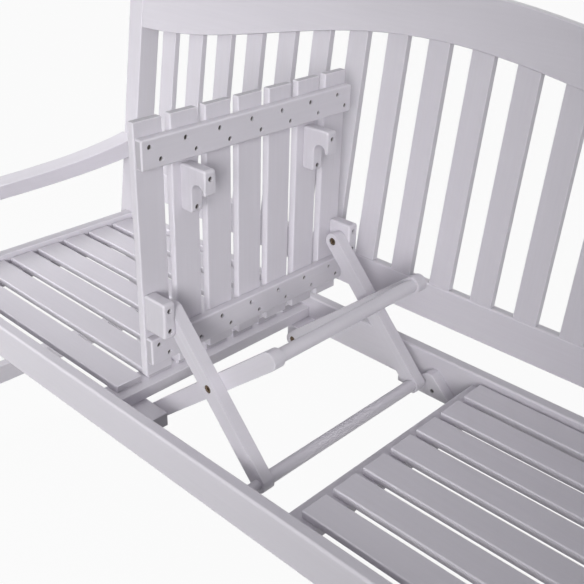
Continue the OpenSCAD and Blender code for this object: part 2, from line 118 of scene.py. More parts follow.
class EdgeSettings(bpy.types.PropertyGroup):
    """How far the wood's edges are eased"""

    board: FloatProperty(
        name="Boards", description="Radius on rails, legs and arms", subtype="DISTANCE",
        unit="LENGTH", min=0.0002, max=0.006, default=0.0014)
    slat: FloatProperty(
        name="Slat ends", description="Radius round a slat's ends", subtype="DISTANCE",
        unit="LENGTH", min=0.0002, max=0.006, default=0.0012)
    cleat: FloatProperty(
        name="Cleats", description="Radius on the tabletop's cleats", subtype="DISTANCE",
        unit="LENGTH", min=0.0002, max=0.006, default=0.0026)
    block: FloatProperty(
        name="Blocks", description="Radius on the hinge and hook blocks", subtype="DISTANCE",
        unit="LENGTH", min=0.0002, max=0.006, default=0.0034)
    notch: FloatProperty(
        name="Notches", description="Radius inside the hooks' and catches' hollows",
        subtype="DISTANCE", unit="LENGTH", min=0.0002, max=0.004, default=0.0018)
    bolt: FloatProperty(
        name="Bolts", description="Radius round a bolt's ends", subtype="DISTANCE",
        unit="LENGTH", min=0.0002, max=0.002, default=0.0008)
    steps: IntProperty(
        name="Steps", description="Faces across an eased edge", min=1, max=6, default=3)


class ScrewSettings(bpy.types.PropertyGroup):
    """The screw holes in the cleats and blocks"""

    hole: FloatProperty(
        name="Hole", description="Diameter of a screw hole", subtype="DISTANCE", unit="LENGTH",
        min=0.002, max=0.010, default=0.0076)
    depth: FloatProperty(
        name="Depth", description="Depth of a screw hole down to the screw's head",
        subtype="DISTANCE", unit="LENGTH", min=0.0005, max=0.010, default=0.0060)


class StageSettings(bpy.types.PropertyGroup):
    """Floor, light and camera"""

    key: FloatProperty(
        name="Key light", description="Power of the large front light", min=0, default=8.8)
    key_place: FloatVectorProperty(
        name="Key place", description="Where the large front light stands", subtype="TRANSLATION",
        unit="LENGTH", size=3, default=(0.8, -2.2, 1.35))
    key_target: FloatVectorProperty(
        name="Key target", description="What the large front light points at", subtype="TRANSLATION",
        unit="LENGTH", size=3, default=(-1.1, 0.33, 0.5))
    key_size: FloatProperty(
        name="Key size", description="Diameter of the large front light", subtype="DISTANCE",
        unit="LENGTH", min=0.1, default=2.2)
    key_spread: FloatProperty(
        name="Key spread", description="How widely the front light's beam opens", subtype="ANGLE",
        unit="ROTATION", min=0.2, max=math.pi, default=math.radians(38))
    top: FloatProperty(
        name="Top light", description="Power of the soft light over the left seat",
        min=0, default=2.8)
    top_place: FloatVectorProperty(
        name="Top place", description="Where the soft top light hangs", subtype="TRANSLATION",
        unit="LENGTH", size=3, default=(-1.4, -0.5, 2.3))
    top_target: FloatVectorProperty(
        name="Top target", description="What the soft top light points at", subtype="TRANSLATION",
        unit="LENGTH", size=3, default=(-1.0, 0.0, 0.4))
    top_size: FloatProperty(
        name="Top size", description="Diameter of the soft top light", subtype="DISTANCE",
        unit="LENGTH", min=0.1, default=1.6)
    top_spread: FloatProperty(
        name="Top spread", description="How widely the top light's beam opens", subtype="ANGLE",
        unit="ROTATION", min=0.2, max=math.pi, default=math.radians(45))
    fill: FloatProperty(
        name="Sky", description="Strength of the even light from all round", min=0, default=0.37)
    overhead: FloatProperty(
        name="Overhead", description="The even light straight above, as a share of that from the sides",
        subtype="FACTOR", min=0, max=1, default=0.95)
    floor: FloatVectorProperty(
        name="Floor", description="Colour of the floor", subtype="COLOR", size=3, min=0, max=1,
        default=(0.35, 0.35, 0.35))
    floor_glow: FloatProperty(
        name="Floor glow", description="Share of plain white in the floor that the camera sees",
        subtype="FACTOR", min=0, max=1, default=0.95)
    lens: FloatProperty(
        name="Lens", description="Focal length on a sensor 36 mm wide", subtype="DISTANCE_CAMERA",
        min=1, default=55.287)


class BenchSettings(bpy.types.PropertyGroup):
    """All settings of the bench"""

    paint: PointerProperty(type=PaintSettings)
    edges: PointerProperty(type=EdgeSettings)
    screws: PointerProperty(type=ScrewSettings)
    stage: PointerProperty(type=StageSettings)


# Shader maths

# Shades of the paint as shares of its colour: where it is thin or thick, a painted highlight on edges, and painted
# shade on end grain
THIN_PAINT, THICK_PAINT, EDGE_HIGHLIGHT, END_SHADE, BLOCK_END_SHADE = 0.965, 1.02, 1.09, 0.76, 0.93

# Scales of the paint's patterns: along the grain, across it, and through the wood
GRAIN_SCALE, BRUSH_SCALE = (7.0, 210.0, 210.0), (22.0, 900.0, 900.0)
CLOUD_SCALE, SPECK_SCALE = (3.5, 9.0, 9.0), (60.0, 60.0, 60.0)

# How strongly edges are worn and shine, and what each pattern adds to the height and the roughness
EDGE_WEAR, EDGE_COAT = 0.35, 0.45
GRAIN_HEIGHT, BRUSH_HEIGHT, SPECK_HEIGHT = 0.7, 0.18, 0.12
CLOUD_ROUGH, BRUSH_ROUGH, END_ROUGH = 0.14, 0.10, 0.25

# How much higher the grain stands on the blocks than on the boards
BLOCK_RELIEF = 24.0

# Shades of the bolts' bronze, scales of the blotches on bolts and screws, and the bolts' blotch depth
BRONZE_DARK, BRONZE_LIGHT = 0.55, 1.5
BOLT_BLOTCHES, SCREW_BLOTCHES, BLOTCH_DEPTH = 420.0, 700.0, 0.0001

# The near black of the screws, painted shade at the bottom of their holes, and how much lighter than the painted
# shade on the hole walls the traces on them are
SCREW_SHADE, SCREW_TRACES = (0.025, 0.023, 0.022), 1.6


class Wire:
    """A socket of a node tree that takes part in Python arithmetic."""

    def __init__(self, tree, socket=None):
        self.tree, self.socket = tree, socket

    def node(self, kind, settings=None, inputs=None, out=0):
        """Adds a node, its settings first, then the values or links of its sockets."""
        made = self.tree.nodes.new(kind)
        for name, value in (settings or {}).items():
            if name == "stops":
                while len(made.color_ramp.elements) < len(value):
                    made.color_ramp.elements.new(0.5)
                for element, (place, shade) in zip(made.color_ramp.elements, value):
                    element.position, element.color = place, (shade, shade, shade, 1)
            else:
                setattr(made, name, value)
        for name, value in (inputs or {}).items():
            if isinstance(value, Wire):
                self.tree.links.new(value.socket, made.inputs[name])
            else:
                made.inputs[name].default_value = value
        return Wire(self.tree, made.outputs[out])

    def math(self, operation, first, second):
        """A Math node on two wires or numbers."""
        return self.node("ShaderNodeMath", {"operation": operation}, {0: first, 1: second})

    def __add__(self, other):
        return self.math("ADD", self, other)

    def __sub__(self, other):
        return self.math("SUBTRACT", self, other)

    def __rsub__(self, other):
        return self.math("SUBTRACT", other, self)

    def __mul__(self, other):
        return self.math("MULTIPLY", self, other)

    __radd__, __rmul__ = __add__, __mul__

    def mixed(self, low, high):
        """A colour between low and high, with this wire as the factor."""
        return self.node("ShaderNodeMix", {"data_type": "RGBA"}, {0: self, 6: low, 7: high}, 2)

    def scaled(self, sizes):
        """This vector with each part multiplied."""
        return self.node("ShaderNodeVectorMath", {"operation": "MULTIPLY"}, {0: self, 1: sizes})

    def noise(self, detail, roughness, scale=1.0):
        """Noise over this vector, from 0 to 1."""
        return self.node("ShaderNodeTexNoise", {"noise_dimensions": "3D"},
                         {"Vector": self, "Scale": scale, "Detail": detail, "Roughness": roughness})

    def ramp(self, *stops):
        """This value through a ramp of (place, shade) stops."""
        return self.node("ShaderNodeValToRGB", {"stops": stops}, {"Fac": self})


def new_material(name):
    """A new material, a wire that its nodes start from, and its shader node."""
    made = bpy.data.materials.new(name)
    made.use_nodes = True
    shader = made.node_tree.nodes["Principled BSDF"]
    return made, Wire(made.node_tree), shader


def feed(material, shader, **sockets):
    """Links wires to a shader's sockets, or sets their plain values."""
    for name, value in sockets.items():
        socket = shader.inputs[name.replace("_", " ")]
        if isinstance(value, Wire):
            material.node_tree.links.new(value.socket, socket)
        else:
            socket.default_value = value


def rgba(colour, factor=1.0):
    """A colour as a socket takes it, made lighter or darker by a factor."""
    return (*[min(1.0, part * factor) for part in colour], 1)


def painted_wood(paint, name="Painted wood", relief=1.0, end_shade=END_SHADE):
    """White satin paint brushed along the grain: wood shows faintly, edges are a little worn and carry a painted
    highlight, and end grain and screw holes carry painted shade.
    """
    material, wire, shader = new_material(name)
    place = wire.node("ShaderNodeAttribute", {"attribute_name": "grain_place"}, out=1)
    eased = wire.node("ShaderNodeAttribute", {"attribute_name": "eased_edge"}, out=2)
    strip = wire.node("ShaderNodeAttribute", {"attribute_name": "narrow_strip"}, out=2)
    sunk = wire.node("ShaderNodeAttribute", {"attribute_name": "hole_depth"}, out=2)
    ends = wire.node("ShaderNodeAttribute", {"attribute_name": "end_grain"}, out=2)
    edge = wire.math("MAXIMUM", eased, strip)
    grain = place.scaled(GRAIN_SCALE).noise(detail=4.0, roughness=0.6)
    brush = place.scaled(BRUSH_SCALE).noise(detail=2.0, roughness=0.5)
    cloud = place.scaled(CLOUD_SCALE).noise(detail=3.0, roughness=0.5)
    speck = place.scaled(SPECK_SCALE).noise(detail=5.0, roughness=0.7)
    worn = edge * speck.ramp((0.48, 0.0), (0.66, 1.0)) * EDGE_WEAR
    tone = cloud.ramp((0.3, 0.0), (0.7, 1.0)) * 0.6 + grain.ramp((0.35, 0.0), (0.65, 1.0)) * 0.4
    colour = tone.mixed(rgba(paint.colour, THIN_PAINT), rgba(paint.colour, THICK_PAINT))
    colour = worn.mixed(colour, rgba(paint.worn_colour))
    # Painted shade: end grain is darkened, standing for the shade on the tops of the slats and blocks
    colour = (ends * (1 - edge)).mixed(colour, rgba(paint.colour, end_shade))
    # Painted highlight: eased edges and narrow strips are painted lighter than the faces beside them
    colour = edge.mixed(colour, rgba(paint.colour, EDGE_HIGHLIGHT))
    # Painted shade: screw hole walls darken with depth towards their bottoms
    colour = sunk.ramp((0.35, 0.0), (0.9, 1.0)).mixed(colour, rgba(paint.hole_shade))
    height = grain * GRAIN_HEIGHT + brush * BRUSH_HEIGHT + speck * SPECK_HEIGHT
    bump = wire.node("ShaderNodeBump", None,
                     {"Strength": 0.5, "Distance": paint.grain_depth * relief, "Height": height})
    rough = (cloud - 0.5) * CLOUD_ROUGH + (brush - 0.5) * BRUSH_ROUGH + ends * END_ROUGH
    feed(material, shader, Base_Color=colour, Normal=bump, Roughness=rough + paint.gloss,
         Specular_IOR_Level=0.4, Coat_Weight=edge * EDGE_COAT, Coat_Roughness=0.12)
    return material


def grained_blocks(paint):
    """The same paint on blocks of coarser wood, whose grain stands up under it, with a lighter painted shade on
    their end grain.
    """
    return painted_wood(paint, "Grained blocks", BLOCK_RELIEF, BLOCK_END_SHADE)


def bronzed_metal(paint):
    """Bolts with a dark bronzed finish, rubbed lighter in blotches."""
    material, wire, shader = new_material("Bronzed bolts")
    place = wire.node("ShaderNodeTexCoord", out=3)
    blotch = place.noise(detail=4.0, roughness=0.6, scale=BOLT_BLOTCHES)
    rubbed = blotch.ramp((0.35, 0.0), (0.7, 1.0))
    colour = rubbed.mixed(rgba(paint.bronze, BRONZE_DARK), rgba(paint.bronze, BRONZE_LIGHT))
    bump = wire.node("ShaderNodeBump", None,
                     {"Strength": 0.4, "Distance": BLOTCH_DEPTH, "Height": blotch})
    feed(material, shader, Base_Color=colour, Metallic=0.85, Normal=bump,
         Roughness=blotch * 0.3 + 0.3)
    return material


def screw_metal(paint):
    """Screw heads painted near black, as shade at the bottom of their holes, with lighter traces on them."""
    material, wire, shader = new_material("Screw heads")
    place = wire.node("ShaderNodeTexCoord", out=3)
    blotch = place.noise(detail=3.0, roughness=0.6, scale=SCREW_BLOTCHES)
    traces = blotch.ramp((0.4, 0.0), (0.65, 1.0))
    colour = traces.mixed(rgba(SCREW_SHADE), rgba(paint.hole_shade, SCREW_TRACES))
    feed(material, shader, Base_Color=colour, Metallic=blotch * 0.4 + 0.2, Roughness=0.45)
    return material


def bench_material(name):
    """One of the bench's materials, made the first time it is asked for."""
    makers = {"Painted wood": painted_wood, "Grained blocks": grained_blocks,
              "Bronzed bolts": bronzed_metal, "Screw heads": screw_metal}
    return bpy.data.materials.get(name) or makers[name](bpy.context.scene.bench.paint)


# Mesh making

# Points nearer than this are one, and faces that turn less than this are one flat face
WELD, FLAT = 2e-6, math.radians(0.4)

# Cosines: of a face that looks to the front, of grain along Y, and of a face that cuts the grain
FRONT_COSINE, ALONG_Y_COSINE, END_COSINE = 0.99, 0.9, 0.98

# Least turns in radians: of an edge that is eased, a corner that is rounded, and a curve
SHARP_EDGE, SHARP_CORNER, CURVED = 0.5, 0.45, 0.02

# Rounding a corner: its steps, the radii within which an arc's own points are dropped, and the most
# that it takes of the way to the next corner
CORNER_STEPS, THINNED, CORNER_SHARE = 6, 1.3, 0.48

# Measuring the wood's width from a point of the outline: what counts as parallel, as the point's own
# side, and as still within another side
PARALLEL, OWN_SIDE, PAST_END = 1e-12, 1e-5, 0.01

# The most of the wood's width that an eased edge takes, how many radii along the outline a radius
# blends into its neighbours', and the share of that reach in which the smallest radius holds
WIDTH_SHARE, BLEND_REACH, HELD_SHARE = 0.38, 1.6, 0.6

# Each piece takes its grain from another place: the steps between pieces, and where they start again
GRAIN_STEPS, GRAIN_SPANS = (0.737, 0.319, 0.513), (5.0, 3.0, 4.0)

# Widths of faces: a strip below the first, or the second on table slats, takes the edges' painted highlight and
# coat, and end grain is wider than the third
NARROW, SLAT_SIDE, END_WIDTH = 0.0011, 0.009, 0.0025

# How far a cutter stands out of the wood, the play in telling a hole's points, and a hole's sides
CUTTER_PROUD, HOLE_PLAY, ROUND_SIDES = 0.001, 1e-4, 20

# Faces that meet at less than this are shaded as one
SMOOTH = math.radians(35)


def clean_copy(node):
    """A CAD node's faces as whole flat faces, in a new bmesh."""
    work = bmesh.new()
    work.from_mesh(frame["nodes"][node].data)
    bmesh.ops.remove_doubles(work, verts=work.verts, dist=WELD)
    bmesh.ops.dissolve_limit(work, angle_limit=FLAT, use_dissolve_boundaries=False,
                             verts=work.verts, edges=work.edges)
    return work


def ease_edges(work, radius, steps):
    """Rounds the outer edges, and marks the rounding's own points."""
    sharp = [edge for edge in work.edges
             if len(edge.link_faces) == 2 and edge.is_convex and edge.calc_face_angle() > SHARP_EDGE]
    mark = work.verts.layers.float.new("eased_edge")
    made = bmesh.ops.bevel(work, geom=sharp, offset=radius, offset_type="OFFSET", segments=steps,
                           profile=0.5, affect="EDGES", clamp_overlap=True, loop_slide=True)
    fresh = set(made["faces"])
    for vert in {vert for face in fresh for vert in face.verts}:
        if all(face in fresh for face in vert.link_faces):
            vert[mark] = 1.0


def outline(node):
    """A node's outline in X and Z, one way round, from the face that looks to the front."""
    work = clean_copy(node)
    fronts = [face for face in work.faces if face.normal.y < -FRONT_COSINE]
    side = max(fronts, key=lambda face: face.calc_area())
    points = [Vector((vert.co.x, vert.co.z)) for vert in side.verts]
    work.free()
    area = sum(a.cross(b) for a, b in zip(points, points[1:] + points[:1]))
    return points if area > 0 else points[::-1]


def square_outline(node):
    """The outline of a node's box in X and Z, one way round."""
    low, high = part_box(node)
    return [Vector(corner) for corner in ((low.x, low.z), (high.x, low.z),
                                          (high.x, high.z), (low.x, high.z))]


def turn_at(points, i):
    """How far the outline turns at a point: above 0 where the wood bulges out."""
    before, after = points[i] - points[i - 1], points[(i + 1) % len(points)] - points[i]
    return math.atan2(before.cross(after), before.dot(after))


def ease_corners(points, radius):
    """Rounds an outline's sharp corners, and thins the short sides of an arc beside them."""
    count = len(points)
    sharp = [i for i in range(count) if abs(turn_at(points, i)) > SHARP_CORNER]
    eased = []
    for place, i in enumerate(sharp):
        after = sharp[(place + 1) % len(sharp)]
        run = [(i + k) % count for k in range(1, (after - i) % count)]
        length = sum((points[(k + 1) % count] - points[k]).length for k in [i, *run])
        reach = min(radius * THINNED, CORNER_SHARE * length)
        kept = [points[k] for k in run
                if min((points[k] - points[i]).length, (points[k] - points[after]).length) > reach]
        eased.append((points[i], reach, kept))
    rounded = []
    for place, (corner, reach, kept) in enumerate(eased):
        before = (eased[place - 1][2] or [eased[place - 1][0]])[-1]
        after = (kept or [eased[(place + 1) % len(eased)][0]])[0]
        inward, outward = (before - corner).normalized(), (after - corner).normalized()
        half = inward.angle(outward) / 2
        cut = min(radius / math.tan(half), reach, eased[place - 1][1])
        first, last = corner + inward * cut, corner + outward * cut
        centre = corner + (inward + outward).normalized() * (cut / math.cos(half))
        spread = (first - centre).angle_signed(last - centre)
        for step in range(CORNER_STEPS + 1):
            turn = Matrix.Rotation(-spread * step / CORNER_STEPS, 2)
            rounded.append(centre + turn @ (first - centre))
        rounded += kept
    return rounded or points


def edge_radii(points, outer, inner):
    """The radius for the edge at each point, smaller in hollows and where the wood is thin."""
    count = len(points)
    radii = []
    for i in range(count):
        along = (points[(i + 1) % count] - points[i - 1]).normalized()
        into = Vector((-along.y, along.x))
        room = 1.0
        for k in range(count):
            a, b = points[k], points[(k + 1) % count]
            if k in (i - 1, i) or (k + 1) % count in (i, (i - 1) % count):
                continue
            cross = into.cross(b - a)
            if abs(cross) > PARALLEL:
                far = (a - points[i]).cross(b - a) / cross
                share = (a - points[i]).cross(into) / cross
                if far > OWN_SIDE and -PAST_END <= share <= 1 + PAST_END:
                    room = min(room, far)
        turn = turn_at(points, i)
        if turn > CURVED:
            step = min((points[i] - points[i - 1]).length, (points[(i + 1) % count] - points[i]).length)
            room = min(room, 2 * step / turn)
        hollow = any(turn_at(points, (i + k) % count) < -CURVED for k in (-1, 0, 1))
        radii.append(min(inner if hollow else outer, WIDTH_SHARE * room))
    reach = outer * BLEND_REACH
    thin = [min(radii[k] for k in range(count)
                if (points[k] - points[i]).length < reach * HELD_SHARE)
            for i in range(count)]
    return [sum(thin[k] * share for k, share in near) / sum(share for _, share in near)
            for near in ([(k, 1 - (points[k] - points[i]).length / reach) for k in range(count)
                          if (points[k] - points[i]).length < reach] for i in range(count))]


def shaped_block(node, points, corner, outer, inner):
    """A block sawn to an outline, as thick as its node, each edge eased by its own radius."""
    low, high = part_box(node)
    steps = bpy.context.scene.bench.edges.steps + 1
    points = ease_corners(points, corner)
    radii = edge_radii(points, outer, inner)
    count = len(points)
    inset = []
    for i in range(count):
        before = (points[i] - points[i - 1]).normalized()
        after = (points[(i + 1) % count] - points[i]).normalized()
        first, second = Vector((-before.y, before.x)), Vector((-after.y, after.x))
        inset.append((first + second) / (1 + first.dot(second)))
    work = bmesh.new()
    mark = work.verts.layers.float.new("eased_edge")
    rings = []
    for face, sign in ((low.y, 1), (high.y, -1)):
        for step in range(steps + 1):
            angle = math.pi / 2 * (1 - step / steps if sign > 0 else step / steps)
            ring = []
            for point, radius, into in zip(points, radii, inset):
                place = point + into * radius * (1 - math.cos(angle))
                vert = work.verts.new((place.x, face + sign * radius * (1 - math.sin(angle)), place.y))
                vert[mark] = 0.0 if step in (0, steps) else 1.0
                ring.append(vert)
            rings.append(ring)
    for near, far in zip(rings, rings[1:]):
        for i in range(count):
            k = (i + 1) % count
            work.faces.new((near[i], near[k], far[k], far[i]))
    for ring in (rings[0], rings[-1]):
        flat = [Vector((vert.co.x, vert.co.z)) for vert in ring]
        _, _, sides, origin, _, _ = delaunay_2d_cdt(flat, [], [list(range(count))], 1, 1e-7)
        for side in sides:
            work.faces.new([ring[origin[i][0]] for i in side])
    bmesh.ops.recalc_face_normals(work, faces=work.faces)
    return work


def longest_side(mesh, face):
    """Length of a face's longest side."""
    corners = [mesh.vertices[i].co for i in face.vertices]
    return max((a - b).length for a, b in zip(corners, corners[1:] + corners[:1]))


def lay_grain(mesh, along, seed, strip):
    """Stores each point's place in the grain, which faces cut it, and which are narrow strips."""
    across = along.orthogonal() if abs(along.dot(Y)) > ALONG_Y_COSINE else along.cross(Y)
    across.normalize()
    through = along.cross(across)
    starts = [seed * step % span for step, span in zip(GRAIN_STEPS, GRAIN_SPANS)]
    layer = mesh.attributes.new("grain_place", "FLOAT_VECTOR", "POINT")
    layer.data.foreach_set("vector", [vert.co.dot(axis) + start for vert in mesh.vertices
                                      for axis, start in zip((along, across, through), starts)])
    ends = mesh.attributes.new("end_grain", "FLOAT", "FACE")
    ends.data.foreach_set("value", [float(abs(face.normal.dot(along)) > END_COSINE
                                          and face.area > END_WIDTH * longest_side(mesh, face))
                                    for face in mesh.polygons])
    strips = mesh.attributes.new("narrow_strip", "FLOAT", "FACE")
    strips.data.foreach_set("value", [float(face.area < strip * longest_side(mesh, face))
                                      for face in mesh.polygons])


def depth_share(point, mouth, inward, width, depth):
    """How far down a hole's wall a point is: 0 at its mouth or away from it, 1 at its floor."""
    down = (point - mouth).dot(inward)
    near = (point - mouth - inward * down).length < width / 2 + HOLE_PLAY
    return min(1.0, max(0.0, down / depth)) if near and down < depth + HOLE_PLAY else 0.0


def drill(thing, holes):
    """Cuts (mouth, direction in, diameter, depth) holes in a piece's mesh."""
    cutter_work = bmesh.new()
    for mouth, inward, width, depth in holes:
        turn = inward.to_track_quat("Z", "Y").to_matrix().to_4x4()
        centre = Matrix.Translation(mouth + inward * (depth - CUTTER_PROUD) / 2) @ turn
        bmesh.ops.create_cone(cutter_work, cap_ends=True, segments=ROUND_SIDES, radius1=width / 2,
                              radius2=width / 2, depth=depth + CUTTER_PROUD, matrix=centre)
    cutter_mesh = bpy.data.meshes.new("cutter")
    cutter_work.to_mesh(cutter_mesh)
    cutter_work.free()
    cutter = bpy.data.objects.new("cutter", cutter_mesh)
    bpy.context.collection.objects.link(cutter)
    cut = thing.modifiers.new("holes", "BOOLEAN")
    cut.operation, cut.solver, cut.object = "DIFFERENCE", "EXACT", cutter
    bpy.context.view_layer.update()
    graph = bpy.context.evaluated_depsgraph_get()
    drilled = bpy.data.meshes.new_from_object(thing.evaluated_get(graph))
    if len(drilled.vertices) <= len(thing.data.vertices):
        raise RuntimeError(f"the screw holes of {thing.name} weren't cut")
    thing.modifiers.remove(cut)
    old, thing.data = thing.data, drilled
    drilled.name = old.name + "_drilled"
    sunk = drilled.attributes.new("hole_depth", "FLOAT", "POINT")
    for vert, share in zip(drilled.vertices, sunk.data):
        share.value = max(depth_share(vert.co, *hole) for hole in holes)
    bpy.data.meshes.remove(old)
    bpy.data.objects.remove(cutter)
    bpy.data.meshes.remove(cutter_mesh)


def add_object(name, mesh, material, body):
    """Puts a finished mesh in the scene as a piece that rides on a body."""
    thing = bpy.data.objects.new(name, mesh)
    bpy.context.collection.objects.link(thing)
    thing.data.materials.clear()
    thing.data.materials.append(bench_material(material))
    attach(thing, body)
    return thing


def finish_shading(thing):
    """Smooth eased edges beside flat faces."""
    for face in thing.data.polygons:
        face.use_smooth = True
    thing.data.set_sharp_from_angle(angle=SMOOTH)
    weighted = thing.modifiers.new("flat faces stay flat", "WEIGHTED_NORMAL")
    weighted.keep_sharp = True
    weighted.weight = 80


def wooden(node, along, radius, holes=(), work=None, material="Painted wood", strip=NARROW):
    """The painted wooden piece that stands for a CAD node: its eased copy, or the mesh in work."""
    if work:
        strip = 0
    else:
        work = clean_copy(node)
        ease_edges(work, radius, bpy.context.scene.bench.edges.steps)
    mesh = bpy.data.meshes.new(node + "_wood")
    work.to_mesh(mesh)
    work.free()
    thing = add_object(node + "_wood", mesh, material, BODY_OF[node])
    if holes:
        drill(thing, holes)
    lay_grain(thing.data, along, sorted(BODY_OF).index(node) + 1, strip)
    finish_shading(thing)
    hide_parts(node)


# Screws

# From a cleat's middle line to a row of screws, and from a slat's middle line to its screws
CLEAT_ROW, CLEAT_PAIR = 0.0097, 0.009

# From a hook block's top to its upper screw, and from its low corner to its lower one
HOOK_TOP, HOOK_FOOT = 0.012, (0.0242, 0.008)

# From a hinge block's ends to its screws, and from a catch's low corner to its screw
HINGE_END, CATCH_SCREW = 0.01125, (0.069, 0.012)

# The shallowest screw's depth as a share of the setting, and the steps that spread the others
SHALLOWEST, GOLDEN_STEP = 0.6, 0.618

# A screw head: its height, its play in the hole, its small end's share, each one's turn in radians
HEAD_HEIGHT, HEAD_PLAY, HEAD_TAPER, HEAD_TURN = 0.001, 0.0001, 0.8, 1.3

# The cross on a screw head: its length in radii of the head, its width and its thickness
CROSS_LENGTH, CROSS_WIDTH, CROSS_THICK = 1.2, 0.0006, 0.0003


def cleat_screws(cleat):
    """Two slanting rows of screws, one pair at each slat, in a cleat's outer face."""
    low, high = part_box(cleat)
    middle = (low.z + high.z) / 2
    found = []
    for number in range(1, 8):
        slat_low, slat_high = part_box(f"table_slat_{number}")
        centre = (slat_low.y + slat_high.y) / 2
        found.append(Vector((high.x, centre - CLEAT_PAIR, middle + CLEAT_ROW)))
        found.append(Vector((high.x, centre + CLEAT_PAIR, middle - CLEAT_ROW)))
    return found


def hook_screws(block):
    """A screw in the hook's lobe and one in its foot."""
    low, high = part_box(block)
    centre = (low.y + high.y) / 2
    return [Vector((high.x, centre, high.z - HOOK_TOP)),
            Vector((low.x + HOOK_FOOT[0], centre, low.z + HOOK_FOOT[1]))]


def hinge_screws(block):
    """Two screws, one above the other, in a hinge block's outer face."""
    low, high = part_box(block)
    centre = (low.y + high.y) / 2
    return [Vector((high.x, centre, low.z + HINGE_END)),
            Vector((high.x, centre, high.z - HINGE_END))]


def catch_screws(block):
    """A screw through the catch into the rail."""
    low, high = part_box(block)
    inner = high.y if high.y < 0 else low.y
    return [Vector((low.x + CATCH_SCREW[0], inner, low.z + CATCH_SCREW[1]))]


def sunk_depth(count):
    """How deep one of a row's screws was driven: no two alike."""
    share = SHALLOWEST + (1 - SHALLOWEST) * (count * GOLDEN_STEP % 1.0)
    return bpy.context.scene.bench.screws.depth * share


def holes_for(points, inward):
    """The holes at some points, each as deep as its own screw."""
    width = bpy.context.scene.bench.screws.hole
    return [(point, inward, width, sunk_depth(count) + HEAD_HEIGHT)
            for count, point in enumerate(points)]


def screw_heads(name, points, inward, body):
    """Screw heads with a thin raised cross, at the bottom of their holes, as one piece."""
    radius = bpy.context.scene.bench.screws.hole / 2 - HEAD_PLAY
    work = bmesh.new()
    turn = inward.to_track_quat("Z", "Y").to_matrix().to_4x4()
    for count, point in enumerate(points):
        spin = Matrix.Rotation(count * HEAD_TURN, 4, "Z")
        seat = Matrix.Translation(point + inward * sunk_depth(count)) @ turn @ spin
        middle = seat @ Matrix.Translation((0, 0, HEAD_HEIGHT / 2))
        bmesh.ops.create_cone(work, cap_ends=True, segments=ROUND_SIDES, radius1=radius * HEAD_TAPER,
                              radius2=radius, depth=HEAD_HEIGHT, matrix=middle)
        bar = Matrix.Diagonal((radius * CROSS_LENGTH, CROSS_WIDTH, CROSS_THICK, 1))
        for quarter in (0, math.pi / 2):
            arm = seat @ Matrix.Rotation(quarter, 4, "Z") @ bar
            bmesh.ops.create_cube(work, size=1.0, matrix=arm)
    mesh = bpy.data.meshes.new(name)
    work.to_mesh(mesh)
    work.free()
    finish_shading(add_object(name, mesh, "Screw heads", body))


# Pieces

# Softer edges on the arms and the crest, as shares of the boards' radius
ARM_EDGE, CREST_EDGE = 1.8, 1.5

# Corners in the outlines of catches and blocks, as shares of the radius on their edges
CATCH_CORNER, BLOCK_CORNER = 1.3, 1.4


class BENCH_OT_seat_frame(bpy.types.Operator):
    """Rails, bearers, pivot blocks and catches of the seat's frame"""

    bl_idname = "bench.seat_frame"
    bl_label = "Seat frame"

    def execute(self, context):
        edges = context.scene.bench.edges
        for node in ("front_rail", "rear_rail", "pivot_block_front", "pivot_block_rear"):
            wooden(node, X, edges.board)
        for node, inward in (("catch_front", -Y), ("catch_rear", Y)):
            points = catch_screws(node)
            work = shaped_block(node, outline(node), edges.notch * CATCH_CORNER, edges.notch,
                                edges.notch)
            wooden(node, X, 0, holes_for(points, inward), work)
            screw_heads(node + "_screws", points, inward, "bench")
        for node in ("side_rail_left", "side_rail_right", "inner_bearer_left", "inner_bearer_right",
                     "outer_bearer_left", "outer_bearer_right"):
            wooden(node, Y, edges.board)
        return {"FINISHED"}


class BENCH_OT_seat_slats(bpy.types.Operator):
    """The left and right seats' slats"""

    bl_idname = "bench.seat_slats"
    bl_label = "Seat slats"

    def execute(self, context):
        for side in ("left", "right"):
            for number in range(1, 8):
                wooden(f"{side}_seat_slat_{number}", X, context.scene.bench.edges.slat)
        return {"FINISHED"}


class BENCH_OT_ends(bpy.types.Operator):
    """Legs, back posts, arms and low stretchers of both ends"""

    bl_idname = "bench.ends"
    bl_label = "Ends"

    def execute(self, context):
        edges = context.scene.bench.edges
        for side in ("left", "right"):
            wooden(f"front_leg_{side}", Z, edges.board)
            wooden(f"back_post_{side}", LEANING, edges.board)
            wooden(f"arm_{side}", Y, edges.board * ARM_EDGE)
            wooden(f"side_stretcher_{side}", Y, edges.board)
        return {"FINISHED"}


class BENCH_OT_back(bpy.types.Operator):
    """Crest rail, lower back rail and the upright slats between them"""

    bl_idname = "bench.back"
    bl_label = "Back"

    def execute(self, context):
        edges = context.scene.bench.edges
        wooden("crest_rail", X, edges.board * CREST_EDGE)
        wooden("lower_back_rail", X, edges.board)
        wooden("back_slats", LEANING, edges.slat)
        return {"FINISHED"}


class BENCH_OT_tabletop(bpy.types.Operator):
    """The tabletop's slats, and its cleats with their screws"""

    bl_idname = "bench.tabletop"
    bl_label = "Tabletop"

    def execute(self, context):
        edges = context.scene.bench.edges
        for number in range(1, 8):
            # The slats' side faces take the edges' painted highlight
            wooden(f"table_slat_{number}", Z, edges.slat, strip=SLAT_SIDE)
        for cleat in ("cleat_hinge_end", "cleat_free_end"):
            points = cleat_screws(cleat)
            wooden(cleat, Y, edges.cleat, holes_for(points, -X))
            screw_heads(cleat + "_screws", points, -X, "tabletop")
        return {"FINISHED"}


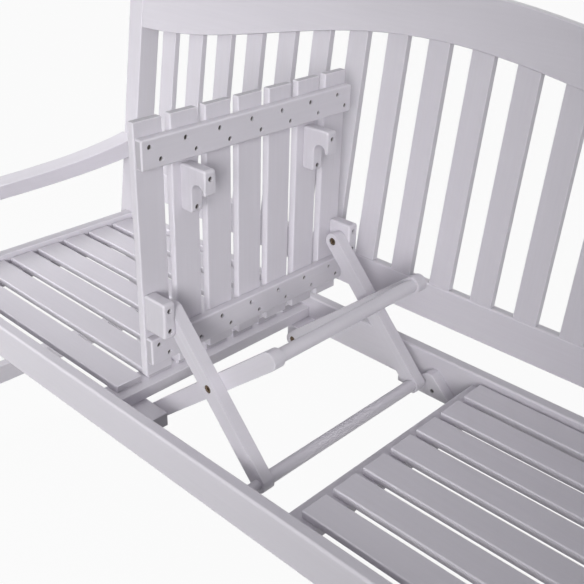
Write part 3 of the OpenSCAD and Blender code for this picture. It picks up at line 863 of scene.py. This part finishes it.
class BENCH_OT_blocks(bpy.types.Operator):
    """Hinge blocks and hook blocks under the tabletop, with their screws"""

    bl_idname = "bench.blocks"
    bl_label = "Hinge and hook blocks"

    def execute(self, context):
        edges = context.scene.bench.edges
        for side in ("front", "rear"):
            hinge, hook = f"hinge_block_{side}", f"hook_block_{side}"
            for block, points, shape in ((hinge, hinge_screws(hinge), square_outline(hinge)),
                                         (hook, hook_screws(hook), outline(hook))):
                work = shaped_block(block, shape, edges.block * BLOCK_CORNER, edges.block, edges.notch)
                wooden(block, Z, 0, holes_for(points, -X), work, "Grained blocks")
                screw_heads(block + "_screws", points, -X, "tabletop")
        return {"FINISHED"}


class BENCH_OT_support(bpy.types.Operator):
    """The scissor support's legs and dowels"""

    bl_idname = "bench.support"
    bl_label = "Folding support"

    def execute(self, context):
        edges = context.scene.bench.edges
        for side in ("front", "rear"):
            wooden(f"inner_leg_{side}", INNER_LEG, edges.board)
            wooden(f"outer_leg_{side}", OUTER_LEG, edges.board)
        for dowel in ("lower_dowel", "upper_dowel"):
            wooden(dowel, Y, edges.board)
        return {"FINISHED"}


class BENCH_OT_bolts(bpy.types.Operator):
    """Pivot bolts with sunken heads"""

    bl_idname = "bench.bolts"
    bl_label = "Pivot bolts"

    def execute(self, context):
        edges = context.scene.bench.edges
        for node in ("table_pivot_bolts", "middle_bolts", "support_pivot_bolts"):
            work = clean_copy(node)
            ease_edges(work, edges.bolt, edges.steps)
            mesh = bpy.data.meshes.new(node + "_metal")
            work.to_mesh(mesh)
            work.free()
            thing = add_object(node + "_metal", mesh, "Bronzed bolts", BODY_OF[node])
            finish_shading(thing)
            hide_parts(node)
        return {"FINISHED"}


# Stage

CAMERA_PLACE = Vector((0.76597, -0.87636, 1.17982))
CAMERA_AZIMUTH, CAMERA_DOWN, CAMERA_ROLL = (math.radians(turn) for turn in (42.828, 28.131, 1.717))
FLOOR_RADIUS = 30.0
SKY_COLOUR, WHITE = (0.96, 0.96, 1.0, 1), (1, 1, 1, 1)


def seen_directly(wire):
    """1 for what the camera sees, straight or in a reflection or through glass, else 0."""
    camera, glossy, clear = [wire.node("ShaderNodeLightPath", out=ray) for ray in
                             ("Is Camera Ray", "Is Glossy Ray", "Is Transmission Ray")]
    return wire.math("MAXIMUM", wire.math("MAXIMUM", camera, glossy), clear)


class BENCH_OT_stage(bpy.types.Operator):
    """Pale floor, soft light, and the camera at the photograph's angle"""

    bl_idname = "bench.stage"
    bl_label = "Stage"

    def execute(self, context):
        stage = context.scene.bench.stage
        self.add_floor(context, stage)
        self.add_lights(context, stage)
        self.add_camera(context, stage)
        context.scene.view_settings.view_transform = "Standard"
        return {"FINISHED"}

    def add_floor(self, context, stage):
        """A wide pale disc that shows white to the camera and keeps a share of the bench's shadow."""
        work = bmesh.new()
        bmesh.ops.create_circle(work, cap_ends=True, segments=64, radius=FLOOR_RADIUS)
        mesh = bpy.data.meshes.new("floor")
        work.to_mesh(mesh)
        work.free()
        floor = bpy.data.objects.new("floor", mesh)
        context.collection.objects.link(floor)
        material, wire, shader = new_material("Pale floor")
        feed(material, shader, Base_Color=rgba(stage.floor), Roughness=0.9, Specular_IOR_Level=0.1)
        tree = material.node_tree
        seen = seen_directly(wire)
        glow = wire.node("ShaderNodeEmission", None, {"Color": WHITE, "Strength": 1.0})
        lit = Wire(tree, shader.outputs[0])
        both = wire.node("ShaderNodeMixShader", None, {0: seen * stage.floor_glow, 1: lit, 2: glow})
        tree.links.new(both.socket, tree.nodes["Material Output"].inputs[0])
        mesh.materials.append(material)

    def add_lights(self, context, stage):
        """An even sky that the camera sees as white, and two soft lamps."""
        world = bpy.data.worlds.new("Soft sky")
        world.use_nodes = True
        context.scene.world = world
        tree = world.node_tree
        wire = Wire(tree)
        shown = seen_directly(wire)
        up = wire.node("ShaderNodeSeparateXYZ", None, {0: wire.node("ShaderNodeTexCoord")}, 2)
        height = wire.math("MAXIMUM", up, 0.0)
        strength = (height * (stage.overhead - 1.0) + 1.0) * stage.fill
        even = wire.node("ShaderNodeBackground", None, {0: SKY_COLOUR, 1: strength})
        white = wire.node("ShaderNodeBackground", None, {0: WHITE, 1: 1.0})
        tree.nodes.remove(tree.nodes["Background"])
        both = wire.node("ShaderNodeMixShader", None, {0: shown, 1: even, 2: white})
        tree.links.new(both.socket, tree.nodes["World Output"].inputs[0])
        for name in ("key", "top"):
            lamp = bpy.data.lights.new(name + " light", "AREA")
            place, target, size, spread = (getattr(stage, f"{name}_{part}")
                                           for part in ("place", "target", "size", "spread"))
            lamp.shape, lamp.size, lamp.spread = "DISK", size, spread
            lamp.energy = getattr(stage, name)
            holder = bpy.data.objects.new(name + " light", lamp)
            holder.location = place
            holder.rotation_mode = "QUATERNION"
            holder.rotation_quaternion = (Vector(target) - Vector(place)).to_track_quat("-Z", "Y")
            context.collection.objects.link(holder)

    def add_camera(self, context, stage):
        """The camera where the photograph's camera stood."""
        lens = bpy.data.cameras.new("photo camera")
        lens.lens, lens.sensor_width = stage.lens, 36.0
        lens.clip_start, lens.clip_end = 0.05, 200.0
        camera = bpy.data.objects.new("photo camera", lens)
        round_about = Matrix.Rotation(CAMERA_AZIMUTH, 4, "Z")
        down = Matrix.Rotation(math.pi / 2 - CAMERA_DOWN, 4, "X")
        roll = Matrix.Rotation(CAMERA_ROLL, 4, "Z")
        camera.matrix_world = Matrix.Translation(CAMERA_PLACE) @ round_about @ down @ roll
        context.collection.objects.link(camera)
        context.scene.camera = camera


# Panel and running

PIECES = (BENCH_OT_seat_frame, BENCH_OT_seat_slats, BENCH_OT_ends, BENCH_OT_back,
          BENCH_OT_tabletop, BENCH_OT_blocks, BENCH_OT_support, BENCH_OT_bolts, BENCH_OT_stage)


class BENCH_PT_panel(bpy.types.Panel):
    """Lists the bench's pieces and settings"""

    bl_idname = "BENCH_PT_panel"
    bl_label = "Bench"
    bl_space_type = "VIEW_3D"
    bl_region_type = "UI"
    bl_category = "Bench"

    def draw(self, context):
        for piece in PIECES:
            self.layout.operator(piece.bl_idname)
        for group in ("paint", "edges", "screws", "stage"):
            box = self.layout.box()
            settings = getattr(context.scene.bench, group)
            for name in settings.__annotations__:
                box.prop(settings, name)


CLASSES = (PaintSettings, EdgeSettings, ScrewSettings, StageSettings, BenchSettings, *PIECES,
           BENCH_PT_panel)


def register():
    """Makes the settings, the operators and the panel known to Blender."""
    for kind in CLASSES:
        bpy.utils.register_class(kind)
    bpy.types.Scene.bench = PointerProperty(type=BenchSettings)


def unregister():
    """Takes them out again."""
    del bpy.types.Scene.bench
    for kind in reversed(CLASSES):
        bpy.utils.unregister_class(kind)


def main():
    """Builds every piece and the stage."""
    register()
    for piece in PIECES:
        group, name = piece.bl_idname.split(".")
        getattr(getattr(bpy.ops, group), name)()


if __name__ == "__main__":
    main()
